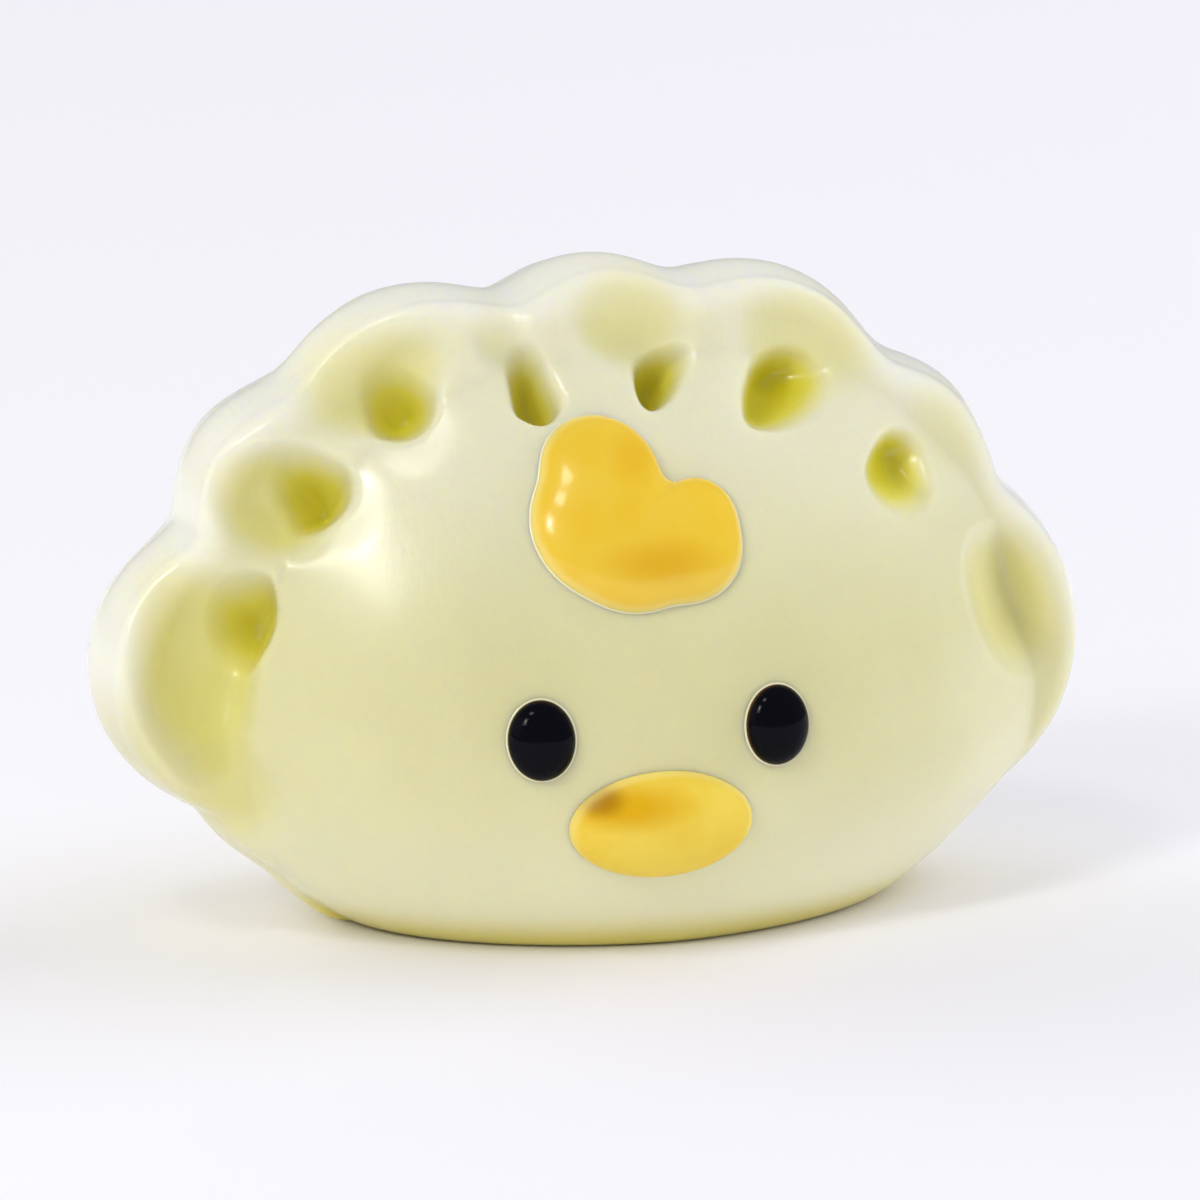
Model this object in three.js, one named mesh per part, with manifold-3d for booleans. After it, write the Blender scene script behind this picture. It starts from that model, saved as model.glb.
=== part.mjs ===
// A soft rubber squeeze toy in the shape of a crimped dumpling with a chick's face.
// Lengths are millimetres. X runs along the row of pleats, Y from the face (-Y) to the back, Z up.
// The toy stands on its flat base. It is drawn with the hub above the origin, and the group then
// moves sideways so that the middle of the face is at X = 0.
import * as THREE from 'three';
import { mergeVertices } from 'three/addons/utils/BufferGeometryUtils.js';
import Module from 'manifold-3d';

const wasm = await Module();
wasm.setup();

// The hub: the point in the middle plane about which every outline is drawn in polar form.
const HUB_HEIGHT = 13;

// The belly: a superellipse in the X-Z plane that swells out to its depth in front and behind.
const BELLY = {
  shift: 1, // the belly sits a little to the right of the face
  halfWidth: 33, // above the hub
  halfWidthLow: 31.2, // at the base
  rise: 32.2, // hub to the crease under the crown of the frill
  drop: 18.9, // hub to where the round belly would end if it weren't cut flat
  depth: 19.8, // middle plane to the face
  plan: 2.6, // exponents of the outline and of the swell, above the hub and at the base
  planLow: 1.75,
  swell: 1.8,
  swellLow: 1.95,
};
const LOW_TOP = 4; // above the hub by this, the upper form is pure
const LOW_SPAN = 12; // the height over which it turns into the lower one

// The frill: one round lobe for each pinch of the crimp, seen from the front, left to right.
const LOBES = [
  { angle: 175, reach: 24.5, radius: 9.2 },
  { angle: 164, reach: 30.8, radius: 11.1 },
  { angle: 140.5, reach: 33.4, radius: 7.9 },
  { angle: 121.5, reach: 28, radius: 12.6 },
  { angle: 92.5, reach: 28.5, radius: 9.6 },
  { angle: 67.5, reach: 27.6, radius: 11.4 },
  { angle: 43, reach: 29.9, radius: 8.5 },
  { angle: 16.5, reach: 26, radius: 13 },
];
const FRILL_HALF = 5.8; // half thickness of the frill
const FRILL_THIN = 1.6; // what is left of it under the belly
const FRILL_FOOT = -2; // it starts to swell at this height
const FRILL_FULL = 14; // and has its full thickness from here up
const FRILL_CROWN = 3; // it swells towards the hub, on an oval of this half width and rise
const CROWN_HALF_WIDTH = 39;
const CROWN_RISE = 38;
const EDGE_RADIUS = 2.2; // rounding between the frill's face and its outer wall
const EDGE_SHARE = 0.9; // the rounding takes at most this share of a thin frill
const WALL_BULGE = 0.7; // the outer wall is a little fuller in the middle

// How softly neighbouring forms run into each other.
const LOBE_BLEND = 1.3;
const CREASE_BLEND = 5.2;
const WEB_HALF = 1; // the rubber left on each side of the middle plane under the deepest pleats
const WEB_BLEND = 0.8;
const BASE_BLEND = 0.9;

// The pleats: a wide dish in each lobe and a deep hole beside the belly. Each is pressed in as a half
// oval from one end of its long axis to the other, given as [x, z]. inner and outer are its widths
// on the side of the hub and on the other side.
const DISHES = [
  { from: [-36, 32.6], to: [-33.6, 12.6], inner: 5.4, outer: 5.6, depth: 2.8 },
  { from: [-33, 38.8], to: [-24.8, 31.4], inner: 4.8, outer: 4.8, depth: 2.7 },
  { from: [-27.4, 40.6], to: [-13.2, 47.8], inner: 4.8, outer: 4.6, depth: 2.2 },
  { from: [-12, 50], to: [-8.8, 43.4], inner: 3, outer: 3, depth: 0.9 },
  { from: [-6.2, 48.2], to: [6.6, 47.8], inner: 5, outer: 4.4, depth: 2 },
  { from: [7.2, 48.2], to: [22.2, 42.2], inner: 5.2, outer: 4.8, depth: 2.1 },
  { from: [22.2, 42], to: [30.4, 32.6], inner: 4.6, outer: 5, depth: 1.1 },
  { from: [31.2, 31.4], to: [35, 16], inner: 4.2, outer: 4.4, depth: 1 },
  { from: [26.6, 30], to: [34, 17.4], inner: 4.2, outer: 4.4, depth: 2.3 },
  { from: [-34.4, 18], to: [-29.6, 6.6], inner: 4.4, outer: 4.4, depth: 1.2 },
];
const HOLES = [
  { from: [-29.5, 30.2], to: [-32.3, 21.6], inner: 2.2, outer: 4.2, depth: 3.7 },
  { from: [-28.2, 33.4], to: [-22.8, 38.2], inner: 2.8, outer: 4.8, depth: 3.6 },
  { from: [-21.4, 40.5], to: [-15.6, 43.9], inner: 2.9, outer: 4.6, depth: 3.1 },
  { from: [-10.2, 42.1], to: [-6, 42.7], inner: 2, outer: 4.8, depth: 4.2 },
  { from: [0, 41.2], to: [4.8, 45.8], inner: 1.5, outer: 2.4, depth: 4.2 },
  { from: [7.6, 40.2], to: [17, 42.6], inner: 2.3, outer: 3.7, depth: 4.1 },
  { from: [17.6, 36.2], to: [24.4, 33.2], inner: 3, outer: 4, depth: 3.6 },
];
// The higher its flatness, the flatter a press is in the middle. The lower the power of a side, the
// crisper is the lip there.
const DISH_PRESS = { flatness: 1.3, innerPower: 2, outerPower: 2 };
const HOLE_PRESS = { flatness: 1.15, innerPower: 1.6, outerPower: 2.4 };
// The form also falls away softly round each hole, so that the ridges between the holes are rounded.
const SHOULDER_PRESS = { flatness: 1, innerPower: 2, outerPower: 2 };
const SHOULDER_WIDTH = 2.6;
const SHOULDER_DEPTH = 0.6;
const PRESS_TURN = 1.6; // on each side of the axis, where one side's width turns into the other's
const LEAST_INNER = 2.4; // a steeper wall would be narrower than the grid's steps

// The face: raised pads that lie on the belly's front, each let into a pocket.
const FACE_MIDDLE = -1.8;
const EYE_SPREAD = 9.3;
const EYE_HEIGHT = 18.1;
const EYE = { halfWidth: 2.55, halfHeight: 3.1, dome: 1.6, sink: 1.4, fullness: 2.1 };
const BEAK = {
  x: FACE_MIDDLE, z: 11.1, halfWidth: 7.2, halfHeight: 4.2, dome: 2.4, sink: 1.4, fullness: 2.2,
};
const COMB = { x: FACE_MIDDLE - 0.3, z: 33.6, dome: 2.2, sink: 1.2, fullness: 2.6 };
// The comb is a heart that leans to the left, drawn about the pad's middle with one circle for the
// big lobe, two for the small lobe and two for the round foot.
const COMB_LOBES = [
  { x: -2.3, y: 3.9, radius: 4.5 },
  { x: 4.8, y: 0.1, radius: 2.95 },
  { x: 3.2, y: -2.1, radius: 4.7 },
  { x: -2.4, y: -0.2, radius: 5.9 },
  { x: -0.7, y: -1.9, radius: 5.4 },
];
const COMB_BLEND = 0.4;
const POCKET_GAP = 0.3; // air between a pad and its pocket

// Grid of the body: close steps round the pleats, wide steps under the belly.
const LOW_ARC = 65; // degrees on each side of straight down
const LOW_STEPS = 8;
const HIGH_STEPS = 96;
const INNER_RINGS = 4;
const INNER_SHARE = 0.55; // of the way from the hub to the edge, which the inner rings cover
const OUTER_RINGS = 14;
const FACE_RINGS = INNER_RINGS + OUTER_RINGS;
const CORNER_RINGS = 3;
const WALL_RINGS = 2;
const PAD_GRIDS = { comb: [40, 10], beak: [28, 10], eye: [20, 8] };
const HALVINGS = 24;
const SLOPE_STEP = 0.05; // the distance over which the belly's slope under a pad is measured
const MERGE_DISTANCE = 1e-5;

const radians = THREE.MathUtils.degToRad;

function smoothMax(values, blend) {
  const top = Math.max(...values);
  const sum = values.reduce((total, value) => total + Math.exp((value - top) / blend), 0);
  return top + blend * Math.log(sum);
}

// The larger of two heights, with a fillet where they come within blend of each other.
function filletedMax(low, high, blend) {
  const near = Math.max(blend - Math.abs(low - high), 0);
  return Math.max(low, high) + near * near / (4 * blend);
}

// Distance from the origin of a polar outline to the far side of a circle.
function rayToCircle(angle, centreAngle, reach, radius) {
  const off = angle - centreAngle;
  const under = radius * radius - (reach * Math.sin(off)) ** 2;
  return reach * Math.cos(off) + Math.sqrt(Math.max(under, 0));
}

function lowness(z) {
  return THREE.MathUtils.smoothstep(HUB_HEIGHT + LOW_TOP - z, 0, LOW_SPAN);
}

// 0 at the belly's middle, 1 on its outline.
function bellyShare(x, z) {
  const low = lowness(z);
  const above = z - HUB_HEIGHT;
  const halfWidth = THREE.MathUtils.lerp(BELLY.halfWidth, BELLY.halfWidthLow, low);
  const plan = THREE.MathUtils.lerp(BELLY.plan, BELLY.planLow, low);
  const halfHeight = above > 0 ? BELLY.rise : BELLY.drop;
  return (Math.abs(x - BELLY.shift) / halfWidth) ** plan + (above / halfHeight) ** 2;
}

function bellyHalf(x, z) {
  const swell = THREE.MathUtils.lerp(BELLY.swell, BELLY.swellLow, lowness(z));
  return BELLY.depth * Math.max(1 - bellyShare(x, z), 0) ** (1 / swell);
}

// The belly's outline in polar form, found by halving.
function rayToBelly(angle) {
  let inside = BELLY.depth / 2;
  let outside = 2 * BELLY.halfWidth;
  for (let step = 0; step < HALVINGS; step += 1) {
    const middle = (inside + outside) / 2;
    const share = bellyShare(middle * Math.cos(angle), HUB_HEIGHT + middle * Math.sin(angle));
    if (share > 1) {
      outside = middle;
    } else {
      inside = middle;
    }
  }
  return (inside + outside) / 2;
}

function outline(angle) {
  const rays = LOBES.map((lobe) => rayToCircle(angle, radians(lobe.angle), lobe.reach, lobe.radius));
  return smoothMax([...rays, rayToBelly(angle)], LOBE_BLEND);
}

function frillHalf(x, z) {
  const full = THREE.MathUtils.smoothstep(z, FRILL_FOOT, FRILL_FULL);
  const above = Math.max(z - HUB_HEIGHT, 0);
  const oval = Math.max(1 - (x / CROWN_HALF_WIDTH) ** 2 - (above / CROWN_RISE) ** 2, 0);
  return THREE.MathUtils.lerp(FRILL_THIN, FRILL_HALF, full) + FRILL_CROWN * oval * full;
}

// Half the thickness before the pleats are pressed in.
function plainHalf(x, z) {
  return filletedMax(bellyHalf(x, z), frillHalf(x, z), CREASE_BLEND);
}

// The wide shallow press round a hole.
function shoulderRound({ from, to, inner, outer }) {
  const length = Math.hypot(to[0] - from[0], to[1] - from[1]);
  const longerX = (to[0] - from[0]) / length * SHOULDER_WIDTH;
  const longerZ = (to[1] - from[1]) / length * SHOULDER_WIDTH;
  return {
    from: [from[0] - longerX, from[1] - longerZ],
    to: [to[0] + longerX, to[1] + longerZ],
    inner: inner + SHOULDER_WIDTH,
    outer: outer + SHOULDER_WIDTH,
    depth: SHOULDER_DEPTH,
    ...SHOULDER_PRESS,
  };
}

const PRESSES = [
  ...DISHES.map((dish) => ({ ...dish, ...DISH_PRESS })),
  ...HOLES.map((hole) => ({ ...hole, ...HOLE_PRESS })),
  ...HOLES.map(shoulderRound),
];

// How deep a press goes at a place.
function pressDepth(x, z, press) {
  const [fromX, fromZ] = press.from;
  const [toX, toZ] = press.to;
  const halfLength = Math.hypot(toX - fromX, toZ - fromZ) / 2;
  const alongX = (toX - fromX) / 2 / halfLength;
  const alongZ = (toZ - fromZ) / 2 / halfLength;
  const middleX = (fromX + toX) / 2;
  const middleZ = (fromZ + toZ) / 2;
  const side = Math.sign(alongZ * -middleX - alongX * (HUB_HEIGHT - middleZ));
  const offX = x - middleX;
  const offZ = z - middleZ;
  const along = offX * alongX + offZ * alongZ;
  const inward = side * (offX * alongZ - offZ * alongX);
  const turned = THREE.MathUtils.smoothstep(inward, -PRESS_TURN, PRESS_TURN);
  const width = THREE.MathUtils.lerp(press.outer, Math.max(press.inner, LEAST_INNER), turned);
  const far = Math.min((inward / width) ** 2 + (along / halfLength) ** 2, 1);
  const power = THREE.MathUtils.lerp(press.outerPower, press.innerPower, turned);
  return press.depth * (1 - far ** press.flatness) ** power;
}

function pleatDepth(x, z) {
  return PRESSES.reduce((sum, press) => sum + pressDepth(x, z, press), 0);
}

// What lies under the base is pressed flat onto it, with a soft edge.
function onBase(z) {
  if (z < -BASE_BLEND) {
    return 0;
  }
  return z < BASE_BLEND ? (z + BASE_BLEND) ** 2 / (4 * BASE_BLEND) : z;
}

// A point of the front half. share goes from the hub to where the edge starts to round, then corner
// and wall are each run through from 0 to 1.
function frontPoint(angle, share, corner, wall) {
  const rim = outline(angle);
  const rimHalf = frillHalf(rim * Math.cos(angle), HUB_HEIGHT + rim * Math.sin(angle));
  const edge = Math.min(EDGE_RADIUS, EDGE_SHARE * rimHalf);
  const bend = corner * Math.PI / 2;
  const reach = share * (rim - edge) + edge * Math.sin(bend);
  const x = reach * Math.cos(angle);
  const z = HUB_HEIGHT + reach * Math.sin(angle);
  const half = filletedMax(plainHalf(x, z) - pleatDepth(x, z), WEB_HALF, WEB_BLEND);
  const full = reach + WALL_BULGE * Math.sin(wall * Math.PI / 2);
  return new THREE.Vector3(
    full * Math.cos(angle),
    -(half - edge * (1 - Math.cos(bend))) * (1 - wall),
    onBase(HUB_HEIGHT + full * Math.sin(angle)));
}

// A sphere's grid, its poles turned to front and back, with every point moved to where it belongs.
function shapedSphere(columns, rows, place) {
  const geometry = new THREE.SphereGeometry(1, columns, rows);
  const position = geometry.attributes.position;
  for (let row = 0; row <= rows; row += 1) {
    for (let column = 0; column <= columns; column += 1) {
      const point = place(column % columns, row);
      position.setXYZ(row * (columns + 1) + column, point.x, point.y, point.z);
    }
  }
  geometry.deleteAttribute('normal');
  geometry.deleteAttribute('uv');
  return mergeVertices(geometry, MERGE_DISTANCE);
}

function columnAngle(column) {
  const high = 360 - 2 * LOW_ARC;
  const past = column - LOW_STEPS;
  if (past < 0) {
    return radians(-90 + LOW_ARC * column / LOW_STEPS);
  }
  if (past <= HIGH_STEPS) {
    return radians(-90 + LOW_ARC + high * past / HIGH_STEPS);
  }
  return radians(-90 + LOW_ARC + high + LOW_ARC * (past - HIGH_STEPS) / LOW_STEPS);
}

function bodyGeometry() {
  const rings = FACE_RINGS + CORNER_RINGS + WALL_RINGS;
  return shapedSphere(2 * LOW_STEPS + HIGH_STEPS, 2 * rings, (column, row) => {
    const ring = Math.min(row, 2 * rings - row);
    const inner = Math.min(ring / INNER_RINGS, 1);
    const outer = THREE.MathUtils.clamp((ring - INNER_RINGS) / OUTER_RINGS, 0, 1);
    const share = INNER_SHARE * inner + (1 - INNER_SHARE) * outer;
    const corner = THREE.MathUtils.clamp((ring - FACE_RINGS) / CORNER_RINGS, 0, 1);
    const wall = THREE.MathUtils.clamp((ring - FACE_RINGS - CORNER_RINGS) / WALL_RINGS, 0, 1);
    const point = frontPoint(columnAngle(column), share, corner, wall);
    return row > rings ? point.setY(-point.y) : point;
  });
}

function plainSlope(x, z) {
  const step = SLOPE_STEP;
  return {
    x: (plainHalf(x + step, z) - plainHalf(x - step, z)) / (2 * step),
    z: (plainHalf(x, z + step) - plainHalf(x, z - step)) / (2 * step),
  };
}

function ovalRay(angle, pad) {
  return 1 / Math.hypot(Math.cos(angle) / pad.halfWidth, Math.sin(angle) / pad.halfHeight);
}

function combRay(angle) {
  const rays = COMB_LOBES.map((lobe) => rayToCircle(
    angle, Math.atan2(lobe.y, lobe.x), Math.hypot(lobe.x, lobe.y), lobe.radius));
  return smoothMax(rays, COMB_BLEND);
}

// A pad's point: its outline is drawn on the plane that touches the belly at its middle, then laid
// on the belly's curve, and the dome and the sunk underside are measured square to it.
function padPoint(pad, ray, grow, angle, climb) {
  const out = Math.sin(climb) ** (2 / pad.fullness) * (ray(angle, pad) + grow);
  const depth = (Math.cos(climb) > 0 ? pad.dome : pad.sink) + grow;
  const lift = Math.cos(climb) * depth;
  const x = pad.x + out * Math.cos(angle);
  const z = pad.z + out * Math.sin(angle) / Math.hypot(1, plainSlope(pad.x, pad.z).z);
  const slope = plainSlope(x, z);
  const normal = new THREE.Vector3(-slope.x, -1, -slope.z).normalize();
  return normal.multiplyScalar(lift).add(new THREE.Vector3(x, -plainHalf(x, z), z));
}

function padGeometry(pad, ray, [columns, rows], grow = 0) {
  return shapedSphere(columns, rows, (column, row) => padPoint(
    pad, ray, grow, 2 * Math.PI * column / columns, Math.PI * row / rows));
}

function toSolid(geometry) {
  return new wasm.Manifold(new wasm.Mesh({
    numProp: 3,
    vertProperties: new Float32Array(geometry.attributes.position.array),
    triVerts: new Uint32Array(geometry.index.array),
  }));
}

function toGeometry(solid) {
  const mesh = solid.getMesh();
  const geometry = new THREE.BufferGeometry();
  geometry.setAttribute('position', new THREE.BufferAttribute(mesh.vertProperties, 3));
  geometry.setIndex(new THREE.BufferAttribute(mesh.triVerts, 1));
  return geometry;
}

const paleRubber = new THREE.MeshStandardMaterial({ color: '#e6e3bb', roughness: 0.3, metalness: 0 });
const combRubber = new THREE.MeshStandardMaterial({ color: '#e9c43f', roughness: 0.3, metalness: 0 });
const beakRubber = new THREE.MeshStandardMaterial({ color: '#e8bd2e', roughness: 0.3, metalness: 0 });
const blackGloss = new THREE.MeshStandardMaterial({ color: '#07070b', roughness: 0.08, metalness: 0 });

const pads = [
  { name: 'comb', pad: COMB, ray: combRay, grid: PAD_GRIDS.comb, material: combRubber },
  { name: 'beak', pad: BEAK, ray: ovalRay, grid: PAD_GRIDS.beak, material: beakRubber },
  { name: 'eye_left', pad: { ...EYE, x: FACE_MIDDLE - EYE_SPREAD, z: EYE_HEIGHT },
    ray: ovalRay, grid: PAD_GRIDS.eye, material: blackGloss },
  { name: 'eye_right', pad: { ...EYE, x: FACE_MIDDLE + EYE_SPREAD, z: EYE_HEIGHT },
    ray: ovalRay, grid: PAD_GRIDS.eye, material: blackGloss },
];

const toy = new THREE.Group();
toy.position.x = -FACE_MIDDLE;
let bodySolid = toSolid(bodyGeometry());
for (const { name, pad, ray, grid, material } of pads) {
  const mesh = new THREE.Mesh(padGeometry(pad, ray, grid), material);
  mesh.name = name;
  toy.add(mesh);
  bodySolid = bodySolid.subtract(toSolid(padGeometry(pad, ray, grid, POCKET_GAP)));
}
const body = new THREE.Mesh(toGeometry(bodySolid), paleRubber);
body.name = 'body';
toy.add(body);

export default toy;
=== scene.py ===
"""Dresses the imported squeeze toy: its fine skin, comb, beak and eyes, their finishes, and the stage."""

import math

import bmesh
import bpy
from bpy.props import FloatProperty, FloatVectorProperty, IntProperty, PointerProperty
from mathutils import Matrix, Vector


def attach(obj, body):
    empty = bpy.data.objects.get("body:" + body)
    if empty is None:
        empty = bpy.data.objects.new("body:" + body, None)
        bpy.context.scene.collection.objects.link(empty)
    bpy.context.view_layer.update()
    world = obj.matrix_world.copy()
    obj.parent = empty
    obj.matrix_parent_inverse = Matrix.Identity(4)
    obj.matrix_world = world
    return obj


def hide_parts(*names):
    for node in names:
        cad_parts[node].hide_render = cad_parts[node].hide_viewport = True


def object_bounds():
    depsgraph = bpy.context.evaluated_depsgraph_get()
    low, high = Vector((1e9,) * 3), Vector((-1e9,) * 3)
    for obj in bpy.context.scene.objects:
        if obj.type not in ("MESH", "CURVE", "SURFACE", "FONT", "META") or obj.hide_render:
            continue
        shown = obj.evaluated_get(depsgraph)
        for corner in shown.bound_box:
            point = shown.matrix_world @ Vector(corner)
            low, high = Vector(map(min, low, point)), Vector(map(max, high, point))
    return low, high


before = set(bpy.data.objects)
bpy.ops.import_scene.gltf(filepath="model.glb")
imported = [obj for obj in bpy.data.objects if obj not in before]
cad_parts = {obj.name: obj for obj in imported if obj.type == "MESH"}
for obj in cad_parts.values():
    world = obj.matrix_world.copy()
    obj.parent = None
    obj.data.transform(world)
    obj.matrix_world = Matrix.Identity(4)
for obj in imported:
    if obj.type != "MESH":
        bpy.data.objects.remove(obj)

bl_info = {
    "name": "Dumpling chick squeeze toy",
    "version": (1, 0, 0),
    "blender": (4, 5, 0),
    "location": "3D View > Sidebar > Dumpling toy",
    "description": "Models and finishes a soft rubber squeeze toy in the shape of a crimped dumpling",
    "category": "Object",
}

CAD_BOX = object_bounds()
MM = 0.001  # the form is worked out in millimetres and turned to metres when a point is placed

# The hub: the point in the middle plane about which every outline is drawn in polar form.
HUB_HEIGHT = 13
FACE_MIDDLE = -1.8  # sideways from the hub to the middle of the face, which is X = 0 in the frame

BELLY_SHIFT = 1  # sideways from the hub to the belly's middle
BELLY_HALF_WIDTH = 33
BELLY_HALF_WIDTH_LOW = 31.2
BELLY_RISE = 32.2
BELLY_DROP = 18.9
BELLY_DEPTH = 19.8
BELLY_PLAN = 2.6  # exponents of the outline and of the swell, above the hub and at the base
BELLY_PLAN_LOW = 1.75
BELLY_SWELL = 1.8
BELLY_SWELL_LOW = 1.95
LOW_TOP = 4  # the change to the base's values starts this far above the hub
LOW_SPAN = 12  # and is complete this far below its start
HALVINGS = 24  # steps of the search for the belly's outline

# One round lobe for each pinch of the crimp: angle in degrees, distance from the hub, radius.
LOBES = (
    (175, 24.5, 9.2),
    (164, 30.8, 11.1),
    (140.5, 33.4, 7.9),
    (121.5, 28, 12.6),
    (92.5, 28.5, 9.6),
    (67.5, 27.6, 11.4),
    (43, 29.9, 8.5),
    (16.5, 26, 13),
)
LOBE_BLEND = 1.3  # how softly the outlines of the lobes and the belly run into each other
FRILL_HALF = 5.8  # half the frill's thickness from the height FRILL_FULL up
FRILL_THIN = 1.6  # and from the height FRILL_FOOT down
FRILL_FOOT = -2
FRILL_FULL = 14
FRILL_CROWN = 3  # the frill swells by this towards the hub, on an oval of this half width and rise
CROWN_HALF_WIDTH = 39
CROWN_RISE = 38
EDGE_RADIUS = 2.2  # of the rounding between the frill's face and its outer wall
EDGE_SHARE = 0.9  # the most that the rounding takes of half the thickness
WALL_BULGE = 0.7  # how far the outer wall stands out in the middle
CREASE_BLEND = 5.2  # width of the fillet between the belly and the frill
WEB_HALF = 1  # the rubber left on each side of the middle plane under the deepest pleats
WEB_BLEND = 0.8
BASE_BLEND = 0.9  # height of the soft edge between the walls and the flat base

# The pleats: a wide dish in each lobe and a deep hole beside the belly. Each is pressed in as a half
# oval from one end of its long axis to the other; inner and outer are its widths on the side of the
# hub and on the other side.
DISHES = (
    {"ends": ((-36, 32.6), (-33.6, 12.6)), "inner": 5.4, "outer": 5.6, "depth": 2.8},
    {"ends": ((-33, 38.8), (-24.8, 31.4)), "inner": 4.8, "outer": 4.8, "depth": 2.7},
    {"ends": ((-27.4, 40.6), (-13.2, 47.8)), "inner": 4.8, "outer": 4.6, "depth": 2.2},
    {"ends": ((-12, 50), (-8.8, 43.4)), "inner": 3, "outer": 3, "depth": 0.9},
    {"ends": ((-6.2, 48.2), (6.6, 47.8)), "inner": 5, "outer": 4.4, "depth": 2},
    {"ends": ((7.2, 48.2), (22.2, 42.2)), "inner": 5.2, "outer": 4.8, "depth": 2.1},
    {"ends": ((22.2, 42), (30.4, 32.6)), "inner": 4.6, "outer": 5, "depth": 1.1},
    {"ends": ((31.2, 31.4), (35, 16)), "inner": 4.2, "outer": 4.4, "depth": 1},
    {"ends": ((26.6, 30), (34, 17.4)), "inner": 4.2, "outer": 4.4, "depth": 2.3},
    {"ends": ((-34.4, 18), (-29.6, 6.6)), "inner": 4.4, "outer": 4.4, "depth": 1.2},
)
HOLES = (
    {"ends": ((-29.5, 30.2), (-32.3, 21.6)), "inner": 2.2, "outer": 4.2, "depth": 3.7},
    {"ends": ((-28.2, 33.4), (-22.8, 38.2)), "inner": 2.8, "outer": 4.8, "depth": 3.6},
    {"ends": ((-21.4, 40.5), (-15.6, 43.9)), "inner": 2.9, "outer": 4.6, "depth": 3.1},
    {"ends": ((-10.2, 42.1), (-6, 42.7)), "inner": 2, "outer": 4.8, "depth": 4.2},
    {"ends": ((0, 41.2), (4.8, 45.8)), "inner": 1.5, "outer": 2.4, "depth": 4.2},
    {"ends": ((7.6, 40.2), (17, 42.6)), "inner": 2.3, "outer": 3.7, "depth": 4.1},
    {"ends": ((17.6, 36.2), (24.4, 33.2)), "inner": 3, "outer": 4, "depth": 3.6},
)
DISH_PRESS = {"flatness": 1.3, "inner_power": 2, "outer_power": 2}
HOLE_PRESS = {"flatness": 1.15, "inner_power": 1.25, "outer_power": 2.4}
# The form also falls away softly round each hole, so that the ridges between the holes are rounded.
SHOULDER_PRESS = {"flatness": 1, "inner_power": 2, "outer_power": 2}
SHOULDER_WIDTH = 2.6  # beyond the hole on every side
SHOULDER_DEPTH = 0.6
PRESS_TURN = 1.6  # millimetres on each side of the axis in which one side turns into the other
# The pleats were pinched sideways, so they lean in under the belly, less and less towards the right.
UNDERCUT = 0.7  # millimetres for each millimetre of depth
UNDERCUT_FROM = 0.3  # beyond this depth
UNDERCUT_FULL = 2  # in full up to this place on the right of the hub
UNDERCUT_NONE = 20  # and not at all from this place on

# The pads of the face: place, half sizes, height of the dome and depth of the sunk underside. The
# higher the fullness, the flatter the dome and the steeper its edge.
EYE_SPREAD = 9.3  # from the face's middle to each eye
EYE_HEIGHT = 18.1
EYE = {"half_width": 2.55, "half_height": 3.1, "dome": 1.6, "sink": 1.4, "fullness": 2.1}
BEAK = {"x": FACE_MIDDLE, "z": 11.1, "half_width": 7.2, "half_height": 4.2,
        "dome": 2.4, "sink": 1.4, "fullness": 2.2}
COMB = {"x": FACE_MIDDLE - 0.3, "z": 33.6, "dome": 2.2, "sink": 1.2, "fullness": 2.6}
# The circles that make up the comb's heart: sideways and up from its place, radius.
COMB_LOBES = ((-2.3, 3.9, 4.5), (4.8, 0.1, 2.95), (3.2, -2.1, 4.7), (-2.4, -0.2, 5.9), (-0.7, -1.9, 5.4))
COMB_BLEND = 0.4
SLOPE_STEP = 0.05  # on each side of the point where the belly's slope is measured
# The pale rubber stands up a little round the comb and each eye.
COMB_SKIRT = {"dome": 0.2, "sink": 0.6, "fullness": 3.2}
EYE_LIP = {"dome": 0.22, "sink": 0.6, "fullness": 3}
LIP_WIDTH = 0.13
# Steps around each pad and from its front to its back.
COMB_GRID = (160, 48)
COMB_SKIRT_GRID = (160, 32)
BEAK_GRID = (128, 48)
EYE_GRID = (96, 48)
EYE_LIP_GRID = (96, 32)
# Spots where the pigment lies thick on the comb, and darker spots on the beak's upper left: centre
# and size in metres, colour, strength.
COMB_PATCHES = (
    ((0.5 * MM, -16 * MM, 31.0 * MM), (6 * MM, 6 * MM, 2.6 * MM), "#e6ae00", 0.9),
    ((-0.5 * MM, -13 * MM, 38.5 * MM), (2.6 * MM, 6 * MM, 2.6 * MM), "#ecba10", 0.7),
)
BEAK_PATCHES = (
    ((-3.2 * MM, -21 * MM, 13.0 * MM), (6.5 * MM, 5 * MM, 2.4 * MM), "#e6b000", 0.9),
    ((-5.3 * MM, -20.5 * MM, 13.6 * MM), (2.6 * MM, 4 * MM, 1.8 * MM), "#b07c06", 0.85),
)

# The grid of the skin: close steps round the pleats, wide steps under the belly.
LOW_ARC = math.radians(65)  # on each side of straight down
LOW_COLUMNS = 0.14  # share of the columns that this takes
INNER_ROWS = 0.2  # share of the rows from the hub out to INNER_SHARE of the way to the edge
INNER_SHARE = 0.55
FACE_ROWS = 0.84  # share of the rows up to where the edge starts to round
CORNER_ROWS = 0.93  # and up to where the outer wall starts
CUT_NEAR = 1e-5  # points of the unit ball this near its middle plane lie on it
WELD_NEAR = 1e-6  # points of the skin this near each other, in metres, are one
# How much of the painted shade in the pleats, a deeper colour, a dish and a hole take, its rise for
# each millimetre to the right, and the depth in millimetres at which they have it all.
DISH_SHADE = 0.23
DISH_SHADE_RISE = -0.0022
DISH_SHADE_FULL = 1.9
HOLE_SHADE = 0.74
HOLE_SHADE_RISE = 0.006
HOLE_SHADE_FULL = 3.7
# Painted glow on the frill's rim, where light shines through the thin rubber:
PALE_WIDTH = 3  # the rim looks paler over this width, as light enters it from both sides
PALE_FROM = 14  # from this height up
PALE_SPAN = 10  # and in full this far above it

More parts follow.
